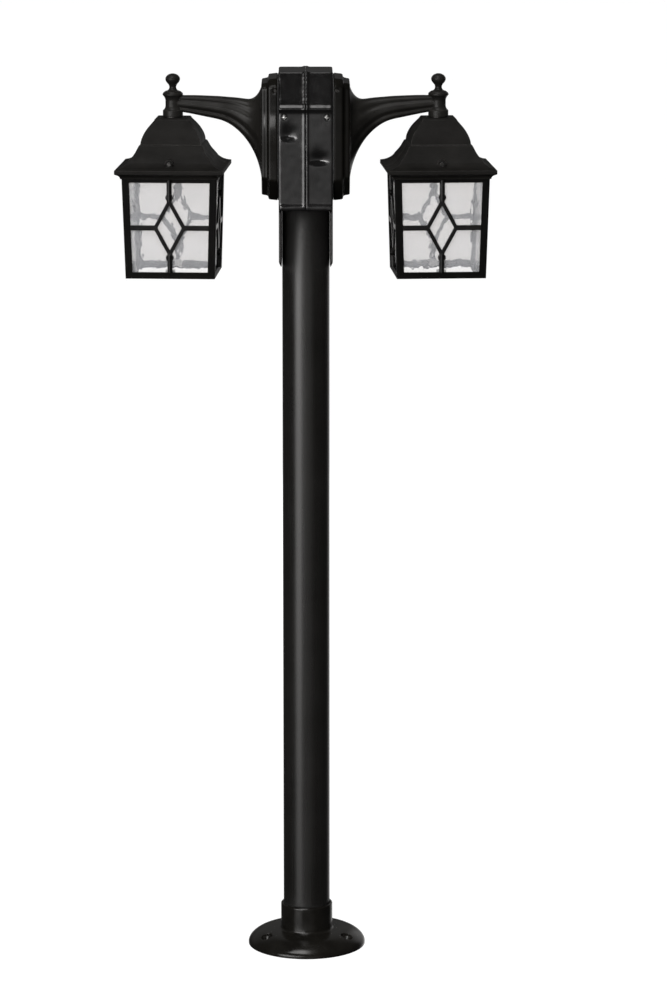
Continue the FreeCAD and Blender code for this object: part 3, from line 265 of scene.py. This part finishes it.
PAINTS = {
    "cast_black": dict(
        colour=(0.0068, 0.0064, 0.0058), edge_wear_and_highlight=(0.034, 0.032, 0.030), roughness=0.34,
        grain=950.0, grain_height=0.00005, orange_peel=0.00006, specular=0.13),
    "base_gloss": dict(
        colour=(0.0048, 0.0044, 0.0037), edge_wear_and_highlight=(0.030, 0.028, 0.025), roughness=0.19,
        grain=950.0, grain_height=0.00003, orange_peel=0.00006, specular=0.38),
    "plate_black": dict(
        colour=(0.0027, 0.0025, 0.0021), edge_wear_and_highlight=(0.030, 0.029, 0.028), roughness=0.16,
        grain=950.0, grain_height=0.00002, orange_peel=0.00004, specular=0.11),
    "grille_black": dict(
        colour=(0.0018, 0.0017, 0.0016), edge_wear_and_highlight=(0.016, 0.015, 0.014), roughness=0.20,
        grain=900.0, grain_height=0.00003, orange_peel=0.00004, specular=0.25),
    "head_black": dict(
        colour=(0.0032, 0.0031, 0.0031), edge_wear_and_highlight=(0.050, 0.049, 0.048), roughness=0.17,
        grain=700.0, grain_height=0.00003, orange_peel=0.00006, specular=0.45),
    "lantern_black": dict(
        colour=(0.0018, 0.0017, 0.0016), edge_wear_and_highlight=(0.012, 0.011, 0.010), roughness=0.42,
        grain=900.0, grain_height=0.00004, orange_peel=0.00005, specular=0.04),
    # The roof's lighter, wider edges are a painted highlight along its ridges, over some rubbed wear.
    "roof_black": dict(
        colour=(0.0047, 0.0044, 0.0040), edge_wear_and_highlight=(0.036, 0.035, 0.033), roughness=0.55,
        grain=1200.0, grain_height=0.00007, orange_peel=0.00005, specular=0.07,
        rounding=0.0020),
}
METALS = {
    # colour, roughness
    "dark_steel": ((0.06, 0.059, 0.057), 0.30),
    "worn_steel": ((0.34, 0.34, 0.33), 0.30),
    "black_steel": ((0.05, 0.048, 0.046), 0.38),
    "zinc_steel": ((0.62, 0.62, 0.60), 0.30),
    "brass": ((0.78, 0.58, 0.27), 0.28),
}
MOULDED = {
    # colour, roughness, specular level, depth of the speckle
    "rubber": ((0.018, 0.018, 0.018), 0.72, 0.3, 0.3),
    "terminal_plastic": ((0.80, 0.78, 0.70), 0.5, 0.4, 0.08),
    "lampholder_ceramic": ((0.84, 0.82, 0.77), 0.2, 0.5, 0.08),
}


def make_materials():
    materials = {name: paint(name, **look) for name, look in PAINTS.items()}
    materials.update({name: metal(name, *look) for name, look in METALS.items()})
    materials.update({name: moulded(name, *look) for name, look in MOULDED.items()})
    materials["tube_black"] = tube_paint("tube_black")
    materials["water_glass"] = water_glass("water_glass")
    return materials


def add_piece(name, mesh, look, node, body):
    """Show a mesh, smooth and in one material, in place of a CAD node."""
    for polygon in mesh.polygons:
        polygon.use_smooth = True
    mesh.name = name
    mesh.materials.clear()
    mesh.materials.append(MATERIALS[look])
    piece = bpy.data.objects.new(name, mesh)
    bpy.context.scene.collection.objects.link(piece)
    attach(piece, body)
    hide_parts(node)


# ------------------------------------------------------------- rippled panes
def ripple(x, z, seed):
    """Surface height of drawn water glass: long soft waves with a finer wander across them."""
    at = Vector((x / RIPPLE_SCALE, z / (1.6 * RIPPLE_SCALE), seed))
    sway = noise.noise(at * 0.55)
    wave = noise.noise(Vector((at.x + 1.3 * sway, at.y * 0.8, seed + 9.0)))
    fine = noise.noise(Vector((at.x * 3.4, at.y * 4.2, seed + 21.0)))
    return RIPPLE_HEIGHT * (wave + 0.33 * fine)


def pane_frame(mesh):
    """A flat pane's centre, its axes (across, up, normal) and its points along them."""
    points = np.array([v.co for v in mesh.vertices], float)
    centre = points.mean(0)
    # The thinnest direction is the pane's normal; up is the one nearest to Z.
    _, _, axes = np.linalg.svd(points - centre, full_matrices=False)
    normal = Vector(axes[2]).normalized()
    up = Vector((0, 0, 1))
    up = (up - normal * up.dot(normal)).normalized()
    axes = (up.cross(normal).normalized(), up, normal)
    local = np.array([[Vector(p - centre).dot(axis) for axis in axes] for p in points])
    return Vector(centre), axes, local


def half_width(points):
    """Half the spread of some points across the pane."""
    return 0.5 * (points[:, 0].max() - points[:, 0].min())


def pane_faces(rows, columns):
    """Quads of two grids of points, one behind the other, and of the rim that joins them."""
    faces = []

    def index(side, row, column):
        return (side * (rows + 1) + row) * (columns + 1) + column

    for row in range(rows):
        for column in range(columns):
            for side in (0, 1):
                a, b = index(side, row, column), index(side, row, column + 1)
                c, d = index(side, row + 1, column + 1), index(side, row + 1, column)
                faces.append((d, c, b, a) if side else (a, b, c, d))
    for row in range(rows):
        for column in (0, columns):
            a, b = index(0, row, column), index(0, row + 1, column)
            c, d = index(1, row + 1, column), index(1, row, column)
            faces.append((a, b, c, d) if column == 0 else (d, c, b, a))
    for column in range(columns):
        for row in (0, rows):
            a, b = index(0, row, column), index(0, row, column + 1)
            c, d = index(1, row, column + 1), index(1, row, column)
            faces.append((d, c, b, a) if row == 0 else (a, b, c, d))
    return faces


def rippled_pane(name, node, body, seed):
    """A pane on the CAD pane's own place and tilt, with both faces rippled."""
    centre, (across, up, normal), local = pane_frame(nodes[node].data)
    low, high = local.min(0), local.max(0)
    foot = local[local[:, 1] < low[1] + END_BAND]
    half_foot = half_width(foot)
    half_head = half_width(local[local[:, 1] > high[1] - END_BAND])
    mid_x = 0.5 * (foot[:, 0].max() + foot[:, 0].min())
    mid_n = 0.5 * (high[2] + low[2])
    # 1.4 ripple heights cover the highest crest that ripple() can give.
    face = 0.5 * (high[2] - low[2]) - PANE_SKIN - 1.4 * RIPPLE_HEIGHT
    rows = max(8, int((high[1] - low[1]) / PANE_CELL))
    columns = max(8, int(2 * half_head / PANE_CELL))
    points = []
    for side, sign in enumerate((1, -1)):
        for row in range(rows + 1):
            t = row / rows
            half = half_foot + (half_head - half_foot) * t - PANE_MARGIN
            y = low[1] + PANE_MARGIN + (high[1] - low[1] - 2 * PANE_MARGIN) * t
            for column in range(columns + 1):
                x = mid_x + half * (2 * column / columns - 1)
                calm = min(1.0, min(column, columns - column, row, rows - row) / CALM_CELLS)
                n = mid_n + sign * (face + ripple(x, y, seed + 40.0 * side) * calm)
                points.append(tuple(centre + across * x + up * y + normal * n))
    mesh = bpy.data.meshes.new(name)
    mesh.from_pydata(points, [], pane_faces(rows, columns))
    mesh.validate()
    bm = bmesh.new()
    bm.from_mesh(mesh)
    bmesh.ops.recalc_face_normals(bm, faces=bm.faces)
    bm.to_mesh(mesh)
    bm.free()
    add_piece(name, mesh, "water_glass", node, body)


def make_panes():
    for side in SIDES:
        for i, place in enumerate(PLACES):
            seed = 3.0 + 11.0 * i + (5.0 if side == "left" else 0.0)
            rippled_pane(f"{side}_rippled_pane_{place}", f"{side}_pane_{place}", f"{side}_lantern", seed)


# ------------------------------------------------- head shells and back plates
DENTS = (
    # x, z of the deepest line, half width, reach above, reach below, depth
    (-0.0225, 1.0630, 0.0085, 0.0110, 0.0044, 0.0024),
    (0.0150, 1.0325, 0.0100, 0.0105, 0.0042, 0.0022),
)
SKIN_VOXEL = 0.0012
SEAM_REACH = 0.9 * SKIN_VOXEL   # points this near the joint plane are put back on it,
SEAM_GAP = 0.00002              # this far off, so that the halves don't share a face
SKIN_FOOT = 0.972               # the skins' lower ends stay as they are
SKIN_BLEND = 0.003              # the shift grows to its full size over this depth
HEAD_FRONT = -0.0345            # only what is in front of this plane is shifted
PLATE_FRONT = -0.0380
HEAD_WAVE = 0.00034
CREASE_Z = 1.0970
CREASE_BEAD = 0.0018
CREASE_WIDTH = 0.0034
PLATE_WAVE = 0.00012
SWELL_TOP, SWELL_CREST, SWELL_FOOT = 1.0940, 1.0690, 1.0200
SWELL_HEIGHT = 0.0014


def head_skin_shift(x, z):
    """How far the sheet of the head's front is pushed in (+) or stands out (-) at a place."""
    shift = HEAD_WAVE * noise.noise(Vector((x / 0.021, z / 0.030, 4.0)))
    shift += 0.35 * HEAD_WAVE * noise.noise(Vector((x / 0.008, z / 0.010, 8.0)))
    for cx, cz, half, above, below, depth in DENTS:
        rise = z - cz
        reach = above if rise > 0 else below
        shift += depth * math.exp(-((x - cx) / half) ** 2 - (rise / reach) ** 2)
    shift -= CREASE_BEAD * math.exp(-((z - CREASE_Z) / CREASE_WIDTH) ** 2)
    return shift


def plate_skin_shift(x, z):
    """The same for a back plate: cast waves, and a slight swell across the left one's rims."""
    shift = PLATE_WAVE * noise.noise(Vector((x / 0.015, z / 0.035, 15.0)))
    if x < 0 and SWELL_FOOT < z < SWELL_TOP:
        below = min(1.0, (z - SWELL_FOOT) / (SWELL_CREST - SWELL_FOOT))
        above = min(1.0, (SWELL_TOP - z) / (SWELL_TOP - SWELL_CREST))
        t = min(below, above)
        shift -= SWELL_HEIGHT * t * t * (3 - 2 * t)
    return shift


def worked_skin(node, piece_name, look, front, skin_shift):
    """A CAD casting rebuilt as a fine skin: softened edges, and its front pushed in and out by a formula."""
    raw = bpy.data.objects.new("raw", nodes[node].data.copy())
    raw.data.materials.clear()
    bpy.context.scene.collection.objects.link(raw)
    bm = bmesh.new()
    bm.from_mesh(raw.data)
    bmesh.ops.remove_doubles(bm, verts=bm.verts, dist=1e-6)
    bm.to_mesh(raw.data)
    bm.free()
    voxels = raw.modifiers.new("voxels", "REMESH")
    voxels.mode = "VOXEL"
    voxels.voxel_size = SKIN_VOXEL
    soften = raw.modifiers.new("soften", "SMOOTH")
    soften.factor, soften.iterations = 0.5, 6
    mesh = bpy.data.meshes.new_from_object(raw.evaluated_get(bpy.context.evaluated_depsgraph_get()))
    bpy.data.objects.remove(raw)
    for vertex in mesh.vertices:
        x, y, z = vertex.co
        if abs(x) < SEAM_REACH:
            vertex.co.x = math.copysign(SEAM_GAP, x)
        if y < front and z > SKIN_FOOT:
            vertex.co.y = y + min(1.0, (front - y) / SKIN_BLEND) * skin_shift(x, z)
    add_piece(piece_name, mesh, look, node, "post")


def make_skins():
    for side in SIDES:
        worked_skin(f"{side}_head_shell", f"{side}_worked_head", "head_black",
                    HEAD_FRONT, head_skin_shift)
        worked_skin(f"{side}_backplate", f"{side}_worked_plate", "plate_black",
                    PLATE_FRONT, plate_skin_shift)


# ---------------------------------------------------------- camera and studio
def make_camera():
    data = bpy.data.cameras.new("camera")
    data.lens = CAMERA_LENS
    data.sensor_width = CAMERA_SENSOR
    data.clip_end = 200.0
    camera = bpy.data.objects.new("camera", data)
    camera.location = (0.0, -CAMERA_DISTANCE, CAMERA_HEIGHT)
    camera.rotation_euler = (math.radians(90.0 - CAMERA_PITCH_DEG), 0.0, math.radians(CAMERA_YAW_DEG))
    bpy.context.scene.collection.objects.link(camera)
    bpy.context.scene.camera = camera


def add_stage(name, points, faces, material):
    """A pale surface that is seen directly and through glass, and that no reflection shows."""
    mesh = bpy.data.meshes.new(name)
    mesh.from_pydata(points, [], faces)
    mesh.materials.append(material)
    piece = bpy.data.objects.new(name, mesh)
    bpy.context.scene.collection.objects.link(piece)
    piece.visible_glossy = False
    piece.visible_diffuse = False
    return piece


def make_stage():
    """The floor, and a wall round its far edge."""
    s = Shader("pale_floor")
    s.set(Base_Color=FLOOR_COLOUR, Roughness=0.9, Specular_IOR_Level=0.0,
          Emission_Color=(1.0, 1.0, 1.0, 1.0), Emission_Strength=FLOOR_GLOW)
    half = 0.5 * FLOOR_SIZE
    corners = [(-half, -half), (half, -half), (half, half), (-half, half)]
    foot = [(x, y, 0.0) for x, y in corners]
    top = [(x, y, WALL_HEIGHT) for x, y in corners]
    add_stage("floor", foot, [(0, 1, 2, 3)], s.material)
    sides = [(i, (i + 1) % 4, (i + 1) % 4 + 4, i + 4) for i in range(4)]
    wall = add_stage("wall", foot + top, sides, s.material)
    wall.visible_shadow = False


def soft_light(name, place, target, size, watts):
    data = bpy.data.lights.new(name, "AREA")
    data.shape = "RECTANGLE"
    data.size, data.size_y = size
    data.energy = watts
    light = bpy.data.objects.new(name, data)
    light.location = place
    light.rotation_euler = (Vector(target) - Vector(place)).to_track_quat("-Z", "Y").to_euler()
    light.visible_glossy = light.visible_camera = light.visible_transmission = False
    bpy.context.scene.collection.objects.link(light)


class Sky:
    """World radiance by direction: a dim room with soft bright areas.

    Azimuth 0 is the viewer's side and grows to the right. All angles are in degrees.
    """

    def __init__(self, ambient):
        world = bpy.data.worlds.new("studio")
        bpy.context.scene.world = world
        world.use_nodes = True
        self.tree = world.node_tree
        self.background = self.tree.nodes["Background"]
        self.direction = self.tree.nodes.new("ShaderNodeTexCoord").outputs["Generated"]
        flat = self.node("VectorMath", operation="MULTIPLY")
        flat.inputs[1].default_value = (1.0, 1.0, 0.0)
        self.join(self.direction, flat.inputs[0])
        level = self.node("VectorMath", operation="NORMALIZE")
        self.join(flat.outputs["Vector"], level.inputs[0])
        self.heading = level.outputs["Vector"]
        split = self.node("SeparateXYZ")
        self.join(self.direction, split.inputs[0])
        self.rise = split.outputs["Z"]
        self.total = self.node("Value").outputs[0]
        self.total.default_value = ambient

    def node(self, kind, **settings):
        node = self.tree.nodes.new("ShaderNode" + kind)
        for key, value in settings.items():
            setattr(node, key, value)
        return node

    def join(self, source, target):
        self.tree.links.new(source, target)

    def step(self, value, low, high):
        """0 below low, 1 above high, smooth between (low may be the larger)."""
        node = self.node("MapRange", interpolation_type="SMOOTHSTEP")
        for key, number in (("From Min", low), ("From Max", high), ("To Min", 0.0), ("To Max", 1.0)):
            node.inputs[key].default_value = number
        self.join(value, node.inputs["Value"])
        return node.outputs["Result"]

    def times(self, a, b):
        node = self.node("Math", operation="MULTIPLY")
        for socket, value in zip(node.inputs, (a, b)):
            if isinstance(value, float):
                socket.default_value = value
            else:
                self.join(value, socket)
        return node.outputs["Value"]

    def gather(self, amount, level):
        node = self.node("Math", operation="MULTIPLY_ADD")
        node.inputs[1].default_value = level
        self.join(amount, node.inputs[0])
        self.join(self.total, node.inputs[2])
        self.total = node.outputs["Value"]

    def panel(self, level, azimuth, core, fade, rise, fall):
        """An area round an azimuth, core wide each way and then fading.

        Upwards it comes in over the rise span of elevations and goes out over the fall span.
        """
        turn = math.radians(azimuth)
        dot = self.node("VectorMath", operation="DOT_PRODUCT")
        dot.inputs[1].default_value = (math.sin(turn), -math.cos(turn), 0.0)
        self.join(self.heading, dot.inputs[0])
        wide = math.cos(math.radians(min(core + fade, 179.0)))
        across = self.step(dot.outputs["Value"], wide, math.cos(math.radians(core)))
        under = self.step(self.rise, math.sin(math.radians(rise[0])), math.sin(math.radians(rise[1])))
        over = self.step(self.rise, math.sin(math.radians(fall[1])), math.sin(math.radians(fall[0])))
        self.gather(self.times(across, self.times(under, over)), level)

    def finish(self):
        tint = self.node("CombineColor")
        for socket, share in zip(tint.inputs, (1.0, 0.985, 0.975)):
            self.join(self.times(self.total, share), socket)
        self.join(tint.outputs["Color"], self.background.inputs["Color"])
        self.background.inputs["Strength"].default_value = 1.0


def make_studio():
    """A dark sky with soft bright areas for the gloss, and lights that no reflection or pane shows."""
    sky = Sky(0.032)
    # Low and broad in front.
    sky.panel(level=1.15, azimuth=-8.0, core=8.0, fade=40.0, rise=(-21.0, 3.0), fall=(-1.0, 5.0))
    # A bright window to the left, for the light line down the tube.
    sky.panel(level=8.6, azimuth=-38.0, core=4.0, fade=17.0, rise=(-21.0, 3.0), fall=(8.0, 22.0))
    # Overhead, all round.
    sky.panel(level=0.4, azimuth=0.0, core=180.0, fade=0.0, rise=(50.0, 72.0), fall=(89.0, 89.9))
    # High in front, for the lower lips of the dents.
    sky.panel(level=6.0, azimuth=-20.0, core=16.0, fade=14.0, rise=(42.0, 50.0), fall=(72.0, 84.0))
    # A small strong one in front, for the swell of the left back plate.
    sky.panel(level=20.0, azimuth=-16.0, core=3.0, fade=5.0, rise=(0.0, 3.0), fall=(8.0, 12.0))
    # Three faint ones behind.
    sky.panel(level=0.35, azimuth=150.0, core=8.0, fade=14.0, rise=(-50.0, -30.0), fall=(20.0, 40.0))
    sky.panel(level=0.10, azimuth=180.0, core=30.0, fade=30.0, rise=(0.0, 16.0), fall=(37.0, 53.0))
    sky.panel(level=0.45, azimuth=172.0, core=10.0, fade=22.0, rise=(-50.0, -24.0), fall=(-6.0, -1.0))
    sky.finish()
    for name, place, size, watts in (
            ("front_fill", (-0.4, -3.4, 1.9), (2.0, 2.0), 120.0),
            ("back_fill", (0.3, 3.2, 1.2), (2.5, 2.0), 90.0),
            ("top_fill", (0.0, -0.8, 3.2), (2.0, 2.0), 60.0)):
        soft_light(name, place, (0, 0, 0.9), size, watts)


# ----------------------------------------------------------------- CAD nodes
def node_looks():
    """Nodes that look other than their slot's name says."""
    looks = {"base_flange": "base_gloss", "head_joining_screws": "worn_steel"}
    for side in SIDES:
        looks[f"{side}_roof_screws"] = "dark_steel"
        for place in PLACES:
            looks[f"{side}_grille_{place}"] = "grille_black"
    return looks


def dress_cad_nodes():
    looks = node_looks()
    for part in frame["record"]["subparts"]:
        node = nodes[part["node"]]
        node.data.materials.clear()
        node.data.materials.append(MATERIALS[looks.get(part["node"], part["material_slot"])])


# --------------------------------------------------------------------- build
MATERIALS = make_materials()
make_camera()
dress_cad_nodes()
make_panes()
make_skins()
make_stage()
make_studio()
bpy.context.scene.view_settings.view_transform = "Standard"
